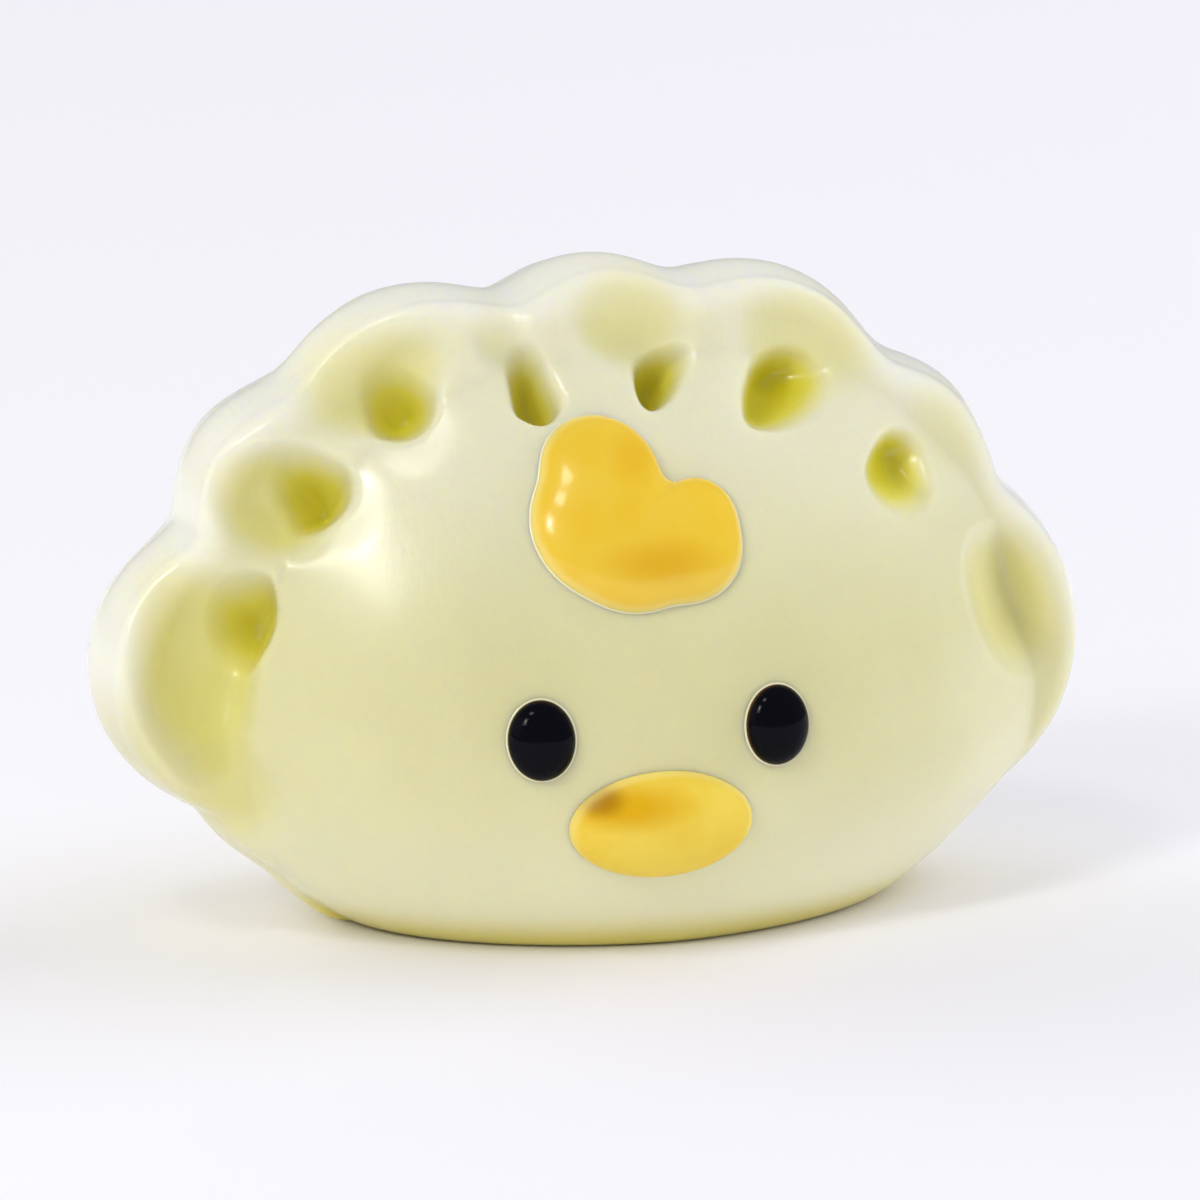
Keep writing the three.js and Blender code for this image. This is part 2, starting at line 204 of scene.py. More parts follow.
REFRACTION = 1.5  # soft rubber, resin and lacquer all bend light about as much

# The studio: each light's name, place and size in metres, power in watts and colour. The fills are
# behind flags, so that only the softboxes and the key lamp show in the gloss.
WALL_COLOUR = "#f4f4fa"
WALL_GLOW = 0.3
FLOOR_WIDTHS = 75  # side of the floor, in widths of the toy
SENSOR_WIDTH = 36  # of the camera, in millimetres
NEAR_CLIP = 0.01
FILLS = (
    ("top fill", (0, 0.25, 2.0), (2.6, 2.6), 7.2, "#eaedff"),
    ("right fill", (1.3, 0, 0.55), (1.2, 0.9), 14.2, "#ebeeff"),
    ("back fill", (0, 1.6, 0.9), (2.0, 1.2), 6.4, "#ffffff"),
    ("left back fill", (-1.1, 1.0, 0.8), (1.0, 1.0), 7, "#ffffff"),
    ("front fill", (-0.5, -1.5, 1.0), (2.4, 2.0), 10.6, "#ffffff"),
)
SOFTBOXES = (
    ("left softbox", (-1.3, 0, 0.55), (1.2, 0.9), 1.3, "#ffffff"),
    ("key softbox", (-0.6, -0.38, 0.5), (0.2, 0.24), 0.9, "#ffffff"),
    ("key lamp", (-0.59, -0.37, 0.505), (0.06, 0.1), 0.5, "#ffffff"),
    ("top softbox", (-0.42, -0.35, 0.85), (0.2, 0.14), 0.8, "#ffffff"),
)


def linear(colour):
    """An sRGB hex colour as linear red, green, blue and alpha."""
    parts = [int(colour[i:i + 2], 16) / 255 for i in (1, 3, 5)]
    return tuple(p / 12.92 if p <= 0.04045 else ((p + 0.055) / 1.055) ** 2.4 for p in parts) + (1.0,)


def lerp(low, high, share):
    return low + (high - low) * share


def smoothstep(value):
    value = min(max(value, 0.0), 1.0)
    return value * value * (3 - 2 * value)


def smooth_max(values, blend):
    top = max(values)
    return top + blend * math.log(sum(math.exp((value - top) / blend) for value in values))


def filleted_max(low, high, blend):
    """The larger of two heights, with a fillet where they come within blend of each other."""
    near = max(blend - abs(low - high), 0)
    return max(low, high) + near * near / (4 * blend)


def ray_to_circle(angle, centre_angle, reach, radius):
    """Distance from the origin of a polar outline to the far side of a circle."""
    off = angle - centre_angle
    under = radius * radius - (reach * math.sin(off)) ** 2
    return reach * math.cos(off) + math.sqrt(max(under, 0))


def lowness(z):
    return smoothstep((HUB_HEIGHT + LOW_TOP - z) / LOW_SPAN)


def belly_share(x, z):
    """0 at the belly's middle, 1 on its outline."""
    low = lowness(z)
    above = z - HUB_HEIGHT
    half_width = lerp(BELLY_HALF_WIDTH, BELLY_HALF_WIDTH_LOW, low)
    plan = lerp(BELLY_PLAN, BELLY_PLAN_LOW, low)
    half_height = BELLY_RISE if above > 0 else BELLY_DROP
    return (abs(x - BELLY_SHIFT) / half_width) ** plan + (above / half_height) ** 2


def belly_half(x, z):
    swell = lerp(BELLY_SWELL, BELLY_SWELL_LOW, lowness(z))
    return BELLY_DEPTH * max(1 - belly_share(x, z), 0) ** (1 / swell)


def ray_to_belly(angle):
    """The belly's outline in polar form, found by halving."""
    inside = BELLY_DEPTH / 2
    outside = 2 * BELLY_HALF_WIDTH
    for _ in range(HALVINGS):
        middle = (inside + outside) / 2
        if belly_share(middle * math.cos(angle), HUB_HEIGHT + middle * math.sin(angle)) > 1:
            outside = middle
        else:
            inside = middle
    return (inside + outside) / 2


def outline(angle):
    rays = [ray_to_circle(angle, math.radians(at), reach, radius) for at, reach, radius in LOBES]
    return smooth_max(rays + [ray_to_belly(angle)], LOBE_BLEND)


def frill_half(x, z):
    full = smoothstep((z - FRILL_FOOT) / (FRILL_FULL - FRILL_FOOT))
    above = max(z - HUB_HEIGHT, 0)
    crown = FRILL_CROWN * max(1 - (x / CROWN_HALF_WIDTH) ** 2 - (above / CROWN_RISE) ** 2, 0)
    return lerp(FRILL_THIN, FRILL_HALF, full) + crown * full


def plain_half(x, z):
    """Half the thickness before the pleats are pressed in."""
    return filleted_max(belly_half(x, z), frill_half(x, z), CREASE_BLEND)


class Press:
    """A half oval pressed in along its long axis.

    The higher its flatness, the flatter it is in the middle. The lower the power of a side, the
    crisper is the lip there.
    """

    def __init__(self, ends, inner, outer, depth, flatness, inner_power, outer_power):
        start, end = ends
        self.middle = ((start[0] + end[0]) / 2, (start[1] + end[1]) / 2)
        self.half_length = math.hypot(end[0] - start[0], end[1] - start[1]) / 2
        self.along = (
            (end[0] - start[0]) / 2 / self.half_length,
            (end[1] - start[1]) / 2 / self.half_length,
        )
        to_hub = self.along[1] * -self.middle[0] - self.along[0] * (HUB_HEIGHT - self.middle[1])
        self.side = math.copysign(1, to_hub)
        self.inner = inner
        self.outer = outer
        self.depth = depth
        self.flatness = flatness
        self.inner_power = inner_power
        self.outer_power = outer_power
        self.reach = max(self.half_length, inner, outer)

    def depth_at(self, x, z):
        off_x = x - self.middle[0]
        off_z = z - self.middle[1]
        if off_x * off_x + off_z * off_z > self.reach * self.reach:
            return 0.0
        along = off_x * self.along[0] + off_z * self.along[1]
        inward = self.side * (off_x * self.along[1] - off_z * self.along[0])
        turned = smoothstep((inward / PRESS_TURN + 1) / 2)
        width = lerp(self.outer, self.inner, turned)
        far = (inward / width) ** 2 + (along / self.half_length) ** 2
        if far >= 1:
            return 0.0
        power = lerp(self.outer_power, self.inner_power, turned)
        return self.depth * (1 - far ** self.flatness) ** power


def shoulder_round(ends, inner, outer, **_rest):
    """The wide shallow press round a hole."""
    start, end = Vector(ends[0]), Vector(ends[1])
    longer = (end - start).normalized() * SHOULDER_WIDTH
    return Press(
        (start - longer, end + longer), inner + SHOULDER_WIDTH, outer + SHOULDER_WIDTH,
        SHOULDER_DEPTH, **SHOULDER_PRESS)


DISH_PRESSES = [Press(**dish, **DISH_PRESS) for dish in DISHES]
HOLE_PRESSES = [Press(**hole, **HOLE_PRESS) for hole in HOLES]
SHOULDER_PRESSES = [shoulder_round(**hole) for hole in HOLES]


def on_base(z):
    """What lies under the base is pressed flat onto it, with a soft edge."""
    if z < -BASE_BLEND:
        return 0
    return (z + BASE_BLEND) ** 2 / (4 * BASE_BLEND) if z < BASE_BLEND else z


def in_frame(x, y, z):
    """A point of the form, in millimetres about the hub's foot, as metres in the frame."""
    return Vector((x - FACE_MIDDLE, y, z)) * MM


def skin_angle(angle):
    """Spreads the columns so that most of them stand above the belly's foot."""
    turn = (angle + math.pi / 2) % (2 * math.pi) / (2 * math.pi)
    side = 1 if turn < 0.5 else -1
    away = turn if turn < 0.5 else 1 - turn
    if away < LOW_COLUMNS / 2:
        return -math.pi / 2 + side * LOW_ARC * away / (LOW_COLUMNS / 2)
    high = (away - LOW_COLUMNS / 2) / (0.5 - LOW_COLUMNS / 2)
    return -math.pi / 2 + side * lerp(LOW_ARC, math.pi, high)


def skin_point(angle, row, rim):
    """A point of the front half, and how much it takes of the pleats' painted shade and of the rim's painted
    glow.

    row runs from the hub, 0, to the middle of the rim's wall, 1.
    """
    inner = min(row / INNER_ROWS, 1)
    outer = min(max((row - INNER_ROWS) / (FACE_ROWS - INNER_ROWS), 0), 1)
    share = INNER_SHARE * inner + (1 - INNER_SHARE) * outer
    bend = min(max((row - FACE_ROWS) / (CORNER_ROWS - FACE_ROWS), 0), 1) * math.pi / 2
    wall = max((row - CORNER_ROWS) / (1 - CORNER_ROWS), 0)
    rim_half = frill_half(rim * math.cos(angle), HUB_HEIGHT + rim * math.sin(angle))
    edge = min(EDGE_RADIUS, EDGE_SHARE * rim_half)
    reach = share * (rim - edge) + edge * math.sin(bend)
    x = reach * math.cos(angle)
    z = HUB_HEIGHT + reach * math.sin(angle)
    plain = plain_half(x, z)
    dish_depth = sum(press.depth_at(x, z) for press in DISH_PRESSES)
    hole_depth = sum(press.depth_at(x, z) for press in HOLE_PRESSES)
    shoulder_depth = sum(press.depth_at(x, z) for press in SHOULDER_PRESSES)
    sunk = dish_depth + hole_depth + shoulder_depth
    lean = UNDERCUT * (1 - smoothstep((x - UNDERCUT_FULL) / (UNDERCUT_NONE - UNDERCUT_FULL)))
    undercut = lean * max(sunk - UNDERCUT_FROM, 0) * math.cos(bend)
    full = reach + WALL_BULGE * math.sin(wall * math.pi / 2) - undercut
    point = in_frame(
        full * math.cos(angle),
        -(filleted_max(plain - sunk, WEB_HALF, WEB_BLEND) - edge * (1 - math.cos(bend))) * (1 - wall),
        on_base(HUB_HEIGHT + full * math.sin(angle)),
    )
    # Painted shade: the dishes and holes take a deeper colour with their depth.
    dish_shade = (DISH_SHADE + DISH_SHADE_RISE * x) * smoothstep(dish_depth / DISH_SHADE_FULL)
    hole_shade = (HOLE_SHADE + HOLE_SHADE_RISE * x) * smoothstep(hole_depth / HOLE_SHADE_FULL)
    # Painted glow: the rim is painted paler near its edge, from PALE_FROM up.
    pale = smoothstep(1 - (rim - reach) / PALE_WIDTH) * smoothstep((z - PALE_FROM) / PALE_SPAN)
    return point, min(dish_shade + hole_shade, 1) * (1 - wall), pale


def unit_ball(columns, rows):
    """A ball of radius 1 whose pole faces the front."""
    ball = bmesh.new()
    turned = Matrix.Rotation(math.pi / 2, 4, "X")
    bmesh.ops.create_uvsphere(ball, u_segments=columns, v_segments=rows, radius=1, matrix=turned)
    return ball


def around_ball(point):
    """A point's angle around the ball, and its angle away from the front pole."""
    return math.atan2(point.z, point.x), math.acos(min(max(-point.y, -1), 1))


def model_skin(columns, rows):
    """The body's front half from the front half of a ball, then its mirrored back half."""
    skin = unit_ball(columns, rows)
    bmesh.ops.bisect_plane(
        skin, geom=skin.verts[:] + skin.edges[:] + skin.faces[:],
        plane_co=(0, 0, 0), plane_no=(0, 1, 0), clear_outer=True, dist=CUT_NEAR)
    deep = skin.verts.layers.float.new("deep")
    pale = skin.verts.layers.float.new("pale")
    rims = {}
    for vert in skin.verts:
        around, climb = around_ball(vert.co)
        column = round(around / (2 * math.pi) * columns)
        if column not in rims:
            angle = skin_angle(around)
            rims[column] = (angle, outline(angle))
        angle, rim = rims[column]
        vert.co, vert[deep], vert[pale] = skin_point(angle, min(climb / (math.pi / 2), 1), rim)
    bmesh.ops.mirror(
        skin, geom=skin.verts[:] + skin.edges[:] + skin.faces[:], axis="Y", merge_dist=WELD_NEAR)
    bmesh.ops.remove_doubles(skin, verts=skin.verts[:], dist=WELD_NEAR)
    bmesh.ops.recalc_face_normals(skin, faces=skin.faces[:])
    return skin


def oval_ray(angle, pad):
    return 1 / math.hypot(math.cos(angle) / pad["half_width"], math.sin(angle) / pad["half_height"])


def comb_ray(angle, _pad):
    rays = [ray_to_circle(angle, math.atan2(y, x), math.hypot(x, y), radius) for x, y, radius in COMB_LOBES]
    return smooth_max(rays, COMB_BLEND)


def plain_slope(x, z):
    step = SLOPE_STEP
    return (
        (plain_half(x + step, z) - plain_half(x - step, z)) / (2 * step),
        (plain_half(x, z + step) - plain_half(x, z - step)) / (2 * step),
    )


def pad_point(pad, ray, grow, angle, climb):
    """A pad's point: its outline is laid on the belly's curve, and its dome is measured square to it."""
    out = math.sin(climb) ** (2 / pad["fullness"]) * (ray(angle, pad) + grow)
    lift = math.cos(climb) * (pad["dome"] if math.cos(climb) > 0 else pad["sink"])
    x = pad["x"] + out * math.cos(angle)
    z = pad["z"] + out * math.sin(angle) / math.hypot(1, plain_slope(pad["x"], pad["z"])[1])
    slope_x, slope_z = plain_slope(x, z)
    normal = Vector((-slope_x, -1, -slope_z)).normalized() * lift
    return in_frame(x + normal.x, -plain_half(x, z) + normal.y, z + normal.z)


def model_pad(pad, ray, grid, grow=0.0):
    """A pad from a ball. Its edge attribute runs from 0 at the front pole to 1 at the rim."""
    shape = unit_ball(*grid)
    edge = shape.verts.layers.float.new("edge")
    for vert in shape.verts:
        angle, climb = around_ball(vert.co)
        vert[edge] = math.sin(climb) if climb < math.pi / 2 else 1
        vert.co = pad_point(pad, ray, grow, angle, climb)
    bmesh.ops.recalc_face_normals(shape, faces=shape.faces[:])
    return shape


def finished_piece(name, shape, material, replaced=None):
    """Turns a bmesh into a smooth piece with a finish, which rides on the root body."""
    mesh = bpy.data.meshes.new(name)
    shape.to_mesh(mesh)
    shape.free()
    mesh.shade_smooth()
    mesh.materials.append(material)
    piece = bpy.data.objects.new(name, mesh)
    bpy.context.scene.collection.objects.link(piece)
    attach(piece, "root")
    if replaced:
        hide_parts(replaced)
    return piece


def set_sockets(node, values):
    for socket, value in values.items():
        node.inputs[socket].default_value = value


def add_node(tree, kind, settings=None, values=None, links=None):
    """Adds a node, sets its properties and sockets, and links other nodes' outputs to its inputs."""
    node = tree.nodes.new(kind)
    for name, value in (settings or {}).items():
        setattr(node, name, value)
    set_sockets(node, values or {})
    for socket, source in (links or {}).items():
        link(tree, source, node, socket)
    return node


def link(tree, source, node, socket):
    """Links a source, which is a (node, output) pair, to a node's socket."""
    tree.links.new(source[0].outputs[source[1]], node.inputs[socket])


def new_material(name):
    """An empty node material: its tree, its Principled shader and the material."""
    material = bpy.data.materials.new(name)
    material.use_nodes = True
    tree = material.node_tree
    return tree, tree.nodes["Principled BSDF"], material


def coordinates(tree):
    return add_node(tree, "ShaderNodeTexCoord"), "Object"


def attribute(tree, name):
    return add_node(tree, "ShaderNodeAttribute", {"attribute_name": name}), "Fac"


def noise(tree, place, size, detail, roughness):
    """Cloudy noise, with clouds of about this size in metres."""
    values = {"Scale": 1 / size, "Detail": detail, "Roughness": roughness}
    return add_node(tree, "ShaderNodeTexNoise", values=values, links={"Vector": place}), "Fac"


def ramp(tree, source, start, end, low, high, curve="SMOOTHSTEP"):
    """Low where the source is at its start or less, high where it is at its end or more."""
    return add_node(
        tree, "ShaderNodeMapRange", {"interpolation_type": curve},
        values={"From Min": start, "From Max": end, "To Min": low, "To Max": high},
        links={"Value": source}), "Result"


def bump(tree, height, strength, distance, under=None):
    """A normal that a height bends, on top of another bump where under is given."""
    links = {"Height": height, "Normal": under} if under else {"Height": height}
    values = {"Strength": strength, "Distance": distance}
    return add_node(tree, "ShaderNodeBump", values=values, links=links), "Normal"


# Sockets of the colour Mix node, which shares its names with the node's other types.
MIX_A, MIX_B, MIX_OUT = 6, 7, 2


def mix(tree, share, low, high):
    """A mix of two colours. Each is a value or a (node, output) pair."""
    values = {}
    links = {0: share}
    for socket, colour in ((MIX_A, low), (MIX_B, high)):
        if isinstance(colour[0], bpy.types.Node):
            links[socket] = colour
        else:
            values[socket] = (*colour[:3], 1.0)
    return add_node(tree, "ShaderNodeMix", {"data_type": "RGBA"}, values, links), MIX_OUT


def pale_moulded_rubber(settings):
    """Soft thermoplastic rubber, cast in a polished mould: pale, cloudy and wet-looking.

    Light goes about a millimetre in, so edges glow. On top of that, a glow on the rim and the top, the
    floor's light low on the belly, and shade in the deep pleats, which turn a strong yellow-green, and
    just above the base are painted into the colour.
    """
    tree, shader, material = new_material("pale moulded rubber")
    place = coordinates(tree)
    height = add_node(tree, "ShaderNodeSeparateXYZ", links={"Vector": place}), "Z"
    deep = attribute(tree, "deep")
    clouds = noise(tree, place, size=9 * MM, detail=3, roughness=0.5)
    clouded = ramp(tree, clouds, start=0.35, end=0.7, low=0, high=0.5, curve="LINEAR")
    colour = mix(tree, clouded, settings.colour, settings.cloud_colour)
    # Painted light: the floor's light is painted in low on the belly, and the frill and the belly's top,
    # thin enough to let light through, are painted paler.
    painted_floor_light = ramp(tree, height, start=4 * MM, end=17 * MM, low=0.8, high=0)
    colour = mix(tree, painted_floor_light, colour, settings.floor_light_colour)
    thin = ramp(tree, height, start=22 * MM, end=42 * MM, low=0, high=0.55)
    colour = mix(tree, thin, colour, settings.rim_colour)
    # Painted glow along the rim's edge, where light shines through the thin rubber.
    colour = mix(tree, attribute(tree, "pale"), colour, settings.rim_colour)
    # Painted shade: the pleats turn yellower first, and their bottoms then a strong yellow-green.
    pleated = ramp(tree, deep, start=0, end=0.5, low=0, high=1, curve="LINEAR")
    colour = mix(tree, pleated, colour, settings.pleat_shade_colour)
    deepest = ramp(tree, deep, start=0.4, end=1, low=0, high=1)
    colour = mix(tree, deepest, colour, settings.bottom_shade_colour)
    # Painted shade: little light reaches the last millimetres above the base, so they are painted deeper.
    foot = ramp(tree, height, start=0, end=3.5 * MM, low=0.9, high=0)
    colour = mix(tree, foot, colour, settings.foot_shade_colour)
    link(tree, colour, shader, "Base Color")
    # The mould's waves, 6 mm long and about a tenth of a millimetre deep, bend the highlights.
    waves = noise(tree, place, size=6 * MM, detail=2, roughness=0.4)
    wavy = bump(tree, waves, strength=0.35, distance=0.25 * MM)
    # Wiping has left fine slanting scratches, half a millimetre apart, that break up the highlights.
    slanted = add_node(
        tree, "ShaderNodeMapping",
        values={"Rotation": (0, math.radians(38), 0), "Scale": (1, 1, 0.12)}, links={"Vector": place})
    scratches = noise(tree, (slanted, "Vector"), size=0.5 * MM, detail=2, roughness=0.5)
    scratched = bump(tree, scratches, strength=0.6, distance=0.05 * MM, under=wavy)
    link(tree, scratched, shader, "Normal")
    set_sockets(shader, {
        "Roughness": settings.roughness,
        "IOR": REFRACTION,
        "Subsurface Weight": 1.0,
        "Subsurface Radius": (1.0, 0.85, 0.3),
        "Subsurface Scale": settings.glow_depth,
        "Coat Weight": 0.6,
        "Coat Roughness": 0.17,
    })
    return material


def lip_material(settings):
    """The body's rubber drawn up in a thin glossy edge round a pad, too thin for light to sink in.

    The lips of the comb and the eyes share it.
    """
    name = "thin glossy rubber lip"
    if name in bpy.data.materials:
        return bpy.data.materials[name]
    _tree, shader, material = new_material(name)
    set_sockets(shader, {
        "Base Color": (*settings.lip_colour, 1.0),
        "Roughness": 0.18,
        "IOR": REFRACTION,
    })
    return material


def tinted_rubber(name, colours, patches, gloss, mirror):
    """Rubber with egg-yolk pigment, brushed into the mould first: deep where thick, with a painted glow at
    the rim.

    patches are soft spots of a deeper colour: centre in metres, size of the spot, colour, strength.
    gloss is how much clear lacquer lies on the rubber, and mirror how much the rubber itself reflects.
    """
    tree, shader, material = new_material(name)
    place = coordinates(tree)
    streaks = noise(tree, place, size=4 * MM, detail=3, roughness=0.55)
    thick = ramp(tree, streaks, start=0.4, end=0.7, low=0, high=0.55, curve="LINEAR")
    colour = mix(tree, thick, colours.colour, colours.deep_colour)
    for centre, size, patch_colour, strength in patches:
        middle = add_node(
            tree, "ShaderNodeMapping", {"vector_type": "TEXTURE"},
            values={"Location": centre, "Scale": size}, links={"Vector": place})
        spot = add_node(
            tree, "ShaderNodeTexGradient", {"gradient_type": "SPHERICAL"},
            links={"Vector": (middle, "Vector")})
        spotted = ramp(tree, (spot, "Fac"), start=0, end=0.8, low=0, high=strength)
        colour = mix(tree, spotted, colour, linear(patch_colour))
    # Painted glow at the rim, where light shines through the thin edge.
    rim = ramp(tree, attribute(tree, "edge"), start=0.88, end=1, low=0, high=0.5)
    colour = mix(tree, rim, colour, colours.rim_colour)
    link(tree, colour, shader, "Base Color")
    # Waves of the mould, finer than the body's, bend the highlights.
    waves = noise(tree, place, size=2.5 * MM, detail=2, roughness=0.4)
    link(tree, bump(tree, waves, strength=0.25, distance=0.12 * MM), shader, "Normal")
    set_sockets(shader, {
        "Roughness": 0.3,
        "IOR": REFRACTION,
        "Specular IOR Level": mirror,
        "Subsurface Weight": 0.15,
        "Subsurface Radius": (1.0, 0.8, 0.25),
        "Subsurface Scale": 0.8 * MM,
        "Coat Weight": gloss,
        "Coat Roughness": 0.1,
    })
    return material


def black_resin(settings):
    """Black resin dropped into the eye's pocket under clear lacquer: sharp reflections, amber edge, and a
    blue tint in the black that is a painted sheen.
    """
    tree, shader, material = new_material("black lacquered resin")
    rim = ramp(tree, attribute(tree, "edge"), start=0.96, end=1, low=0, high=1)
    colour = mix(tree, rim, settings.eye_black_and_sheen_colour, settings.eye_rim_colour)
    link(tree, colour, shader, "Base Color")
    ripples = noise(tree, coordinates(tree), size=1.2 * MM, detail=1, roughness=0.4)
    link(tree, bump(tree, ripples, strength=0.2, distance=0.05 * MM), shader, "Normal")
    set_sockets(shader, {"Roughness": 0.05, "IOR": REFRACTION, "Specular IOR Level": 0.085})
    return material


def matt_paper(settings):
    """Matt white backdrop paper: no gloss, so only soft shadows show on it."""
    _tree, shader, material = new_material("matt backdrop paper")
    set_sockets(shader, {
        "Base Color": (*settings.floor_colour, 1.0),
        "Roughness": 1.0,
        "Specular IOR Level": 0.0,
    })
    return material


def colour_property(name, description, colour):
    return FloatVectorProperty(
        name=name, description=description, subtype="COLOR", size=3, min=0, max=1,
        default=linear(colour)[:3])


class SkinSettings(bpy.types.PropertyGroup):
    """The body: its grid and its rubber."""

    columns: IntProperty(
        name="Columns", description="Steps of the skin around the hub", default=384, min=32)
    rows: IntProperty(
        name="Rows", description="Steps of the skin from front to back, an even number", default=236, min=32)
    colour: colour_property("Skin", "Colour of the open rubber", "#e5e1af")
    cloud_colour: colour_property("Clouds", "Colour of the faint clouds in it", "#dfdaa4")
    # The next five colours are painted light and painted shade: the floor's light low on the belly, a paler
    # glow on the rim and the top, shade in the pleats and at the holes' bottoms, and shade just above the
    # base.
    floor_light_colour: colour_property("Low", "Colour low on the belly, where the floor shines into it", "#f3f0cc")
    rim_colour: colour_property("Rim", "Colour of the thin rim of the frill", "#f1f0e0")
    pleat_shade_colour: colour_property("Pleats", "Colour down in the pleats", "#e8e068")
    bottom_shade_colour: colour_property("Bottoms", "Colour at the bottom of the holes", "#dcd018")
    foot_shade_colour: colour_property("Foot", "Colour just above the base", "#dccd3c")
    lip_colour: colour_property("Lips", "Colour of the thin edges round the pads", "#f0ecc2")
    roughness: FloatProperty(
        name="Roughness", description="Roughness of the skin", default=0.34, min=0, max=1)
    glow_depth: FloatProperty(
        name="Glow depth", description="How far light travels under the skin",
        default=1.3 * MM, unit="LENGTH", precision=4)


class CombSettings(bpy.types.PropertyGroup):
    """The comb's pigment."""

    colour: colour_property("Comb", "Main colour of the comb", "#f4cd38")
    deep_colour: colour_property("Comb, thick", "Colour where the pigment lies thick", "#f3c200")
    # Painted glow, where light shines through the thin rim:
    rim_colour: colour_property("Comb, rim", "Colour where the rim thins out", "#fcee98")


class BeakSettings(bpy.types.PropertyGroup):
    """The beak's pigment."""

    colour: colour_property("Beak", "Main colour of the beak", "#f8da58")
    deep_colour: colour_property("Beak, thick", "Colour where the pigment lies thick", "#f0c630")
    # Painted glow, where light shines through the thin rim:
    rim_colour: colour_property("Beak, rim", "Colour where the rim thins out", "#fff09a")


class EyeSettings(bpy.types.PropertyGroup):
    """The eyes' resin."""

    # Near-black, with a blue tint that is a painted sheen.
    eye_black_and_sheen_colour: colour_property("Eye", "Colour of the eye's dome", "#08080f")
    eye_rim_colour: colour_property("Eye, rim", "Colour where the resin thins out", "#5a3a0a")


class StageSettings(bpy.types.PropertyGroup):
    """The camera, lights and floor."""

    azimuth: FloatProperty(
        name="Azimuth", description="Camera's turn about the upright axis, 0 looks along +Y",
        default=math.radians(-18), subtype="ANGLE")
    elevation: FloatProperty(
        name="Elevation", description="Camera's height above the horizon",
        default=math.radians(12.9), subtype="ANGLE")
    distance: FloatProperty(
        name="Distance", description="From the camera to the point it looks at",
        default=0.6, unit="LENGTH")
    aim: FloatVectorProperty(
        name="Aim", description="The point in the middle of the picture",
        default=(1.4 * MM, 0, 24.2 * MM), subtype="TRANSLATION", precision=4)
    view_width: FloatProperty(
        name="View width", description="Width of the picture at the aim",
        default=93.75 * MM, unit="LENGTH")
    floor_size: FloatProperty(
        name="Floor", description="Side of the square floor",
        default=FLOOR_WIDTHS * (CAD_BOX[1].x - CAD_BOX[0].x), unit="LENGTH")
    floor_colour: colour_property("Floor colour", "Colour of the backdrop paper", "#f3f1f1")
    light: FloatProperty(name="Light", description="Strength of all lights together", default=1, min=0)


class MakeBody(bpy.types.Operator):
    """Model the belly and its crimped frill in pale rubber"""

    bl_idname = "dumpling_toy.body"
    bl_label = "Body"

    def execute(self, context):
        settings = context.scene.dumpling_skin
        skin = model_skin(settings.columns, settings.rows)
        finished_piece("dumpling_body", skin, pale_moulded_rubber(settings), "body")
        return {"FINISHED"}


class MakeComb(bpy.types.Operator):
    """Model the heart-shaped comb and the skirt of pale rubber round it"""

    bl_idname = "dumpling_toy.comb"
    bl_label = "Comb"

    def execute(self, context):
        rubber = tinted_rubber(
            "yolk yellow rubber, comb", context.scene.dumpling_comb, COMB_PATCHES, gloss=0.6, mirror=0.3)
        finished_piece("comb_pad", model_pad(COMB, comb_ray, COMB_GRID), rubber, "comb")
        skirt = model_pad({**COMB, **COMB_SKIRT}, comb_ray, COMB_SKIRT_GRID, grow=LIP_WIDTH)
        finished_piece("comb_skirt", skirt, lip_material(context.scene.dumpling_skin))
        return {"FINISHED"}


class MakeBeak(bpy.types.Operator):
    """Model the oval beak"""

    bl_idname = "dumpling_toy.beak"
    bl_label = "Beak"

    def execute(self, context):
        rubber = tinted_rubber(
            "yolk yellow rubber, beak", context.scene.dumpling_beak, BEAK_PATCHES, gloss=0, mirror=0.1)
        finished_piece("beak_pad", model_pad(BEAK, oval_ray, BEAK_GRID), rubber, "beak")
        return {"FINISHED"}


class MakeEyes(bpy.types.Operator):
    """Model both domed eyes and the thin rubber lip round each"""

    bl_idname = "dumpling_toy.eyes"
    bl_label = "Eyes"

    def execute(self, context):
        resin = black_resin(context.scene.dumpling_eyes)
        rubber = lip_material(context.scene.dumpling_skin)
        for side, name in ((-1, "eye_left"), (1, "eye_right")):
            eye = {**EYE, "x": FACE_MIDDLE + side * EYE_SPREAD, "z": EYE_HEIGHT}
            finished_piece(f"{name}_dome", model_pad(eye, oval_ray, EYE_GRID), resin, name)
            lip = model_pad({**eye, **EYE_LIP}, oval_ray, EYE_LIP_GRID, grow=LIP_WIDTH)
            finished_piece(f"{name}_lip", lip, rubber)
        return {"FINISHED"}


def add_light(name, place, aim, size, power, colour):
    light = bpy.data.lights.new(name, "AREA")
    light.shape = "RECTANGLE"
    light.size, light.size_y = size
    light.energy = power
    light.color = linear(colour)[:3]
    lamp = bpy.data.objects.new(name, light)
    lamp.location = place
    lamp.rotation_mode = "QUATERNION"
    lamp.rotation_quaternion = (Vector(aim) - Vector(place)).to_track_quat("-Z", "Y")
    bpy.context.scene.collection.objects.link(lamp)
    return lamp


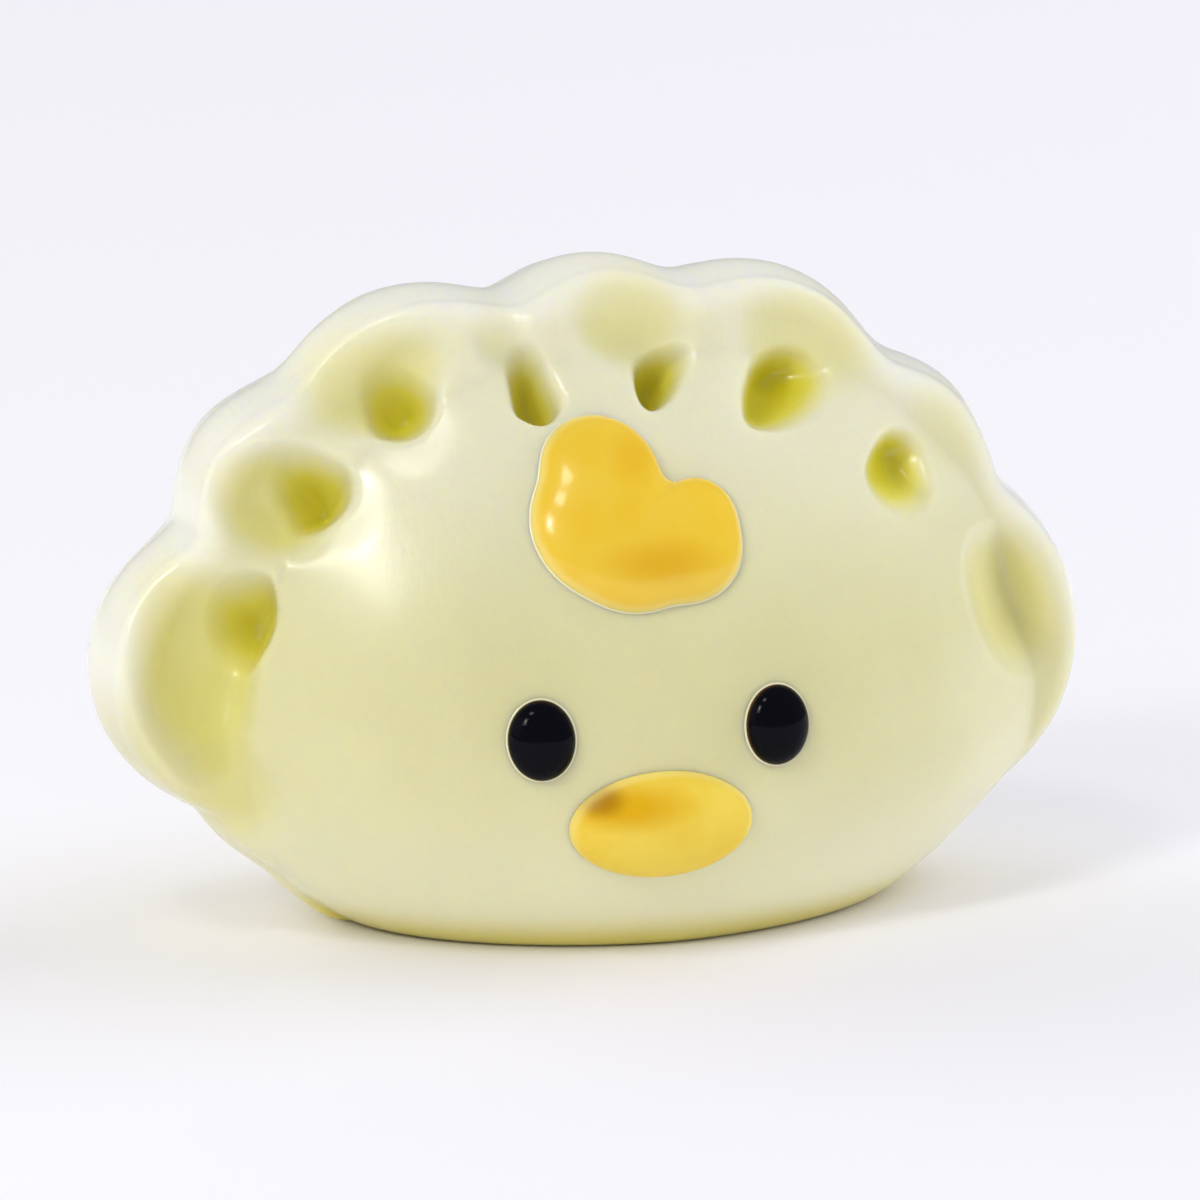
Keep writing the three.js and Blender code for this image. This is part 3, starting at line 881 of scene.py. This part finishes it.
class MakeStage(bpy.types.Operator):
    """Set out the floor, the soft studio lights and the camera"""

    bl_idname = "dumpling_toy.stage"
    bl_label = "Stage"

    def execute(self, context):
        scene = context.scene
        settings = scene.dumpling_stage
        square = bmesh.new()
        bmesh.ops.create_grid(square, x_segments=1, y_segments=1, size=settings.floor_size / 2)
        mesh = bpy.data.meshes.new("floor")
        square.to_mesh(mesh)
        square.free()
        mesh.materials.append(matt_paper(settings))
        floor = bpy.data.objects.new("floor", mesh)
        scene.collection.objects.link(floor)

        world = bpy.data.worlds.new("studio walls")
        world.use_nodes = True
        walls = world.node_tree.nodes["Background"]
        set_sockets(walls, {"Color": linear(WALL_COLOUR), "Strength": WALL_GLOW})
        scene.world = world

        aim = Vector(settings.aim)
        for name, place, size, power, colour in SOFTBOXES:
            add_light(name, place, aim, size, power * settings.light, colour)
        for name, place, size, power, colour in FILLS:
            add_light(name, place, aim, size, power * settings.light, colour).visible_glossy = False

        turn, climb = settings.azimuth, settings.elevation
        back = Vector((
            math.sin(turn) * math.cos(climb), -math.cos(turn) * math.cos(climb), math.sin(climb)))
        lens = bpy.data.cameras.new("camera")
        lens.sensor_width = SENSOR_WIDTH
        lens.lens = lens.sensor_width * settings.distance / settings.view_width
        lens.clip_start = NEAR_CLIP
        camera = bpy.data.objects.new("camera", lens)
        camera.location = aim + back * settings.distance
        camera.rotation_mode = "QUATERNION"
        camera.rotation_quaternion = (-back).to_track_quat("-Z", "Y")
        scene.collection.objects.link(camera)
        scene.camera = camera
        scene.view_settings.view_transform = "Standard"
        return {"FINISHED"}


OPERATORS = (MakeBody, MakeComb, MakeBeak, MakeEyes, MakeStage)
SETTINGS = {
    "dumpling_skin": SkinSettings,
    "dumpling_comb": CombSettings,
    "dumpling_beak": BeakSettings,
    "dumpling_eyes": EyeSettings,
    "dumpling_stage": StageSettings,
}


class DumplingPanel(bpy.types.Panel):
    """Lists the toy's pieces and their settings"""

    bl_idname = "VIEW3D_PT_dumpling_toy"
    bl_label = "Dumpling toy"
    bl_space_type = "VIEW_3D"
    bl_region_type = "UI"
    bl_category = "Dumpling toy"

    def draw(self, context):
        for operator, (name, group) in zip(OPERATORS, SETTINGS.items()):
            box = self.layout.box()
            for field in group.__annotations__:
                box.prop(getattr(context.scene, name), field)
            box.operator(operator.bl_idname)


def register():
    for name, group in SETTINGS.items():
        bpy.utils.register_class(group)
        setattr(bpy.types.Scene, name, PointerProperty(type=group))
    for made in (*OPERATORS, DumplingPanel):
        bpy.utils.register_class(made)


def unregister():
    for made in reversed((*OPERATORS, DumplingPanel)):
        bpy.utils.unregister_class(made)
    for name, group in SETTINGS.items():
        delattr(bpy.types.Scene, name)
        bpy.utils.unregister_class(group)


def main():
    register()
    for operator in OPERATORS:
        group, name = operator.bl_idname.split(".")
        getattr(getattr(bpy.ops, group), name)()


if __name__ == "__main__":
    main()
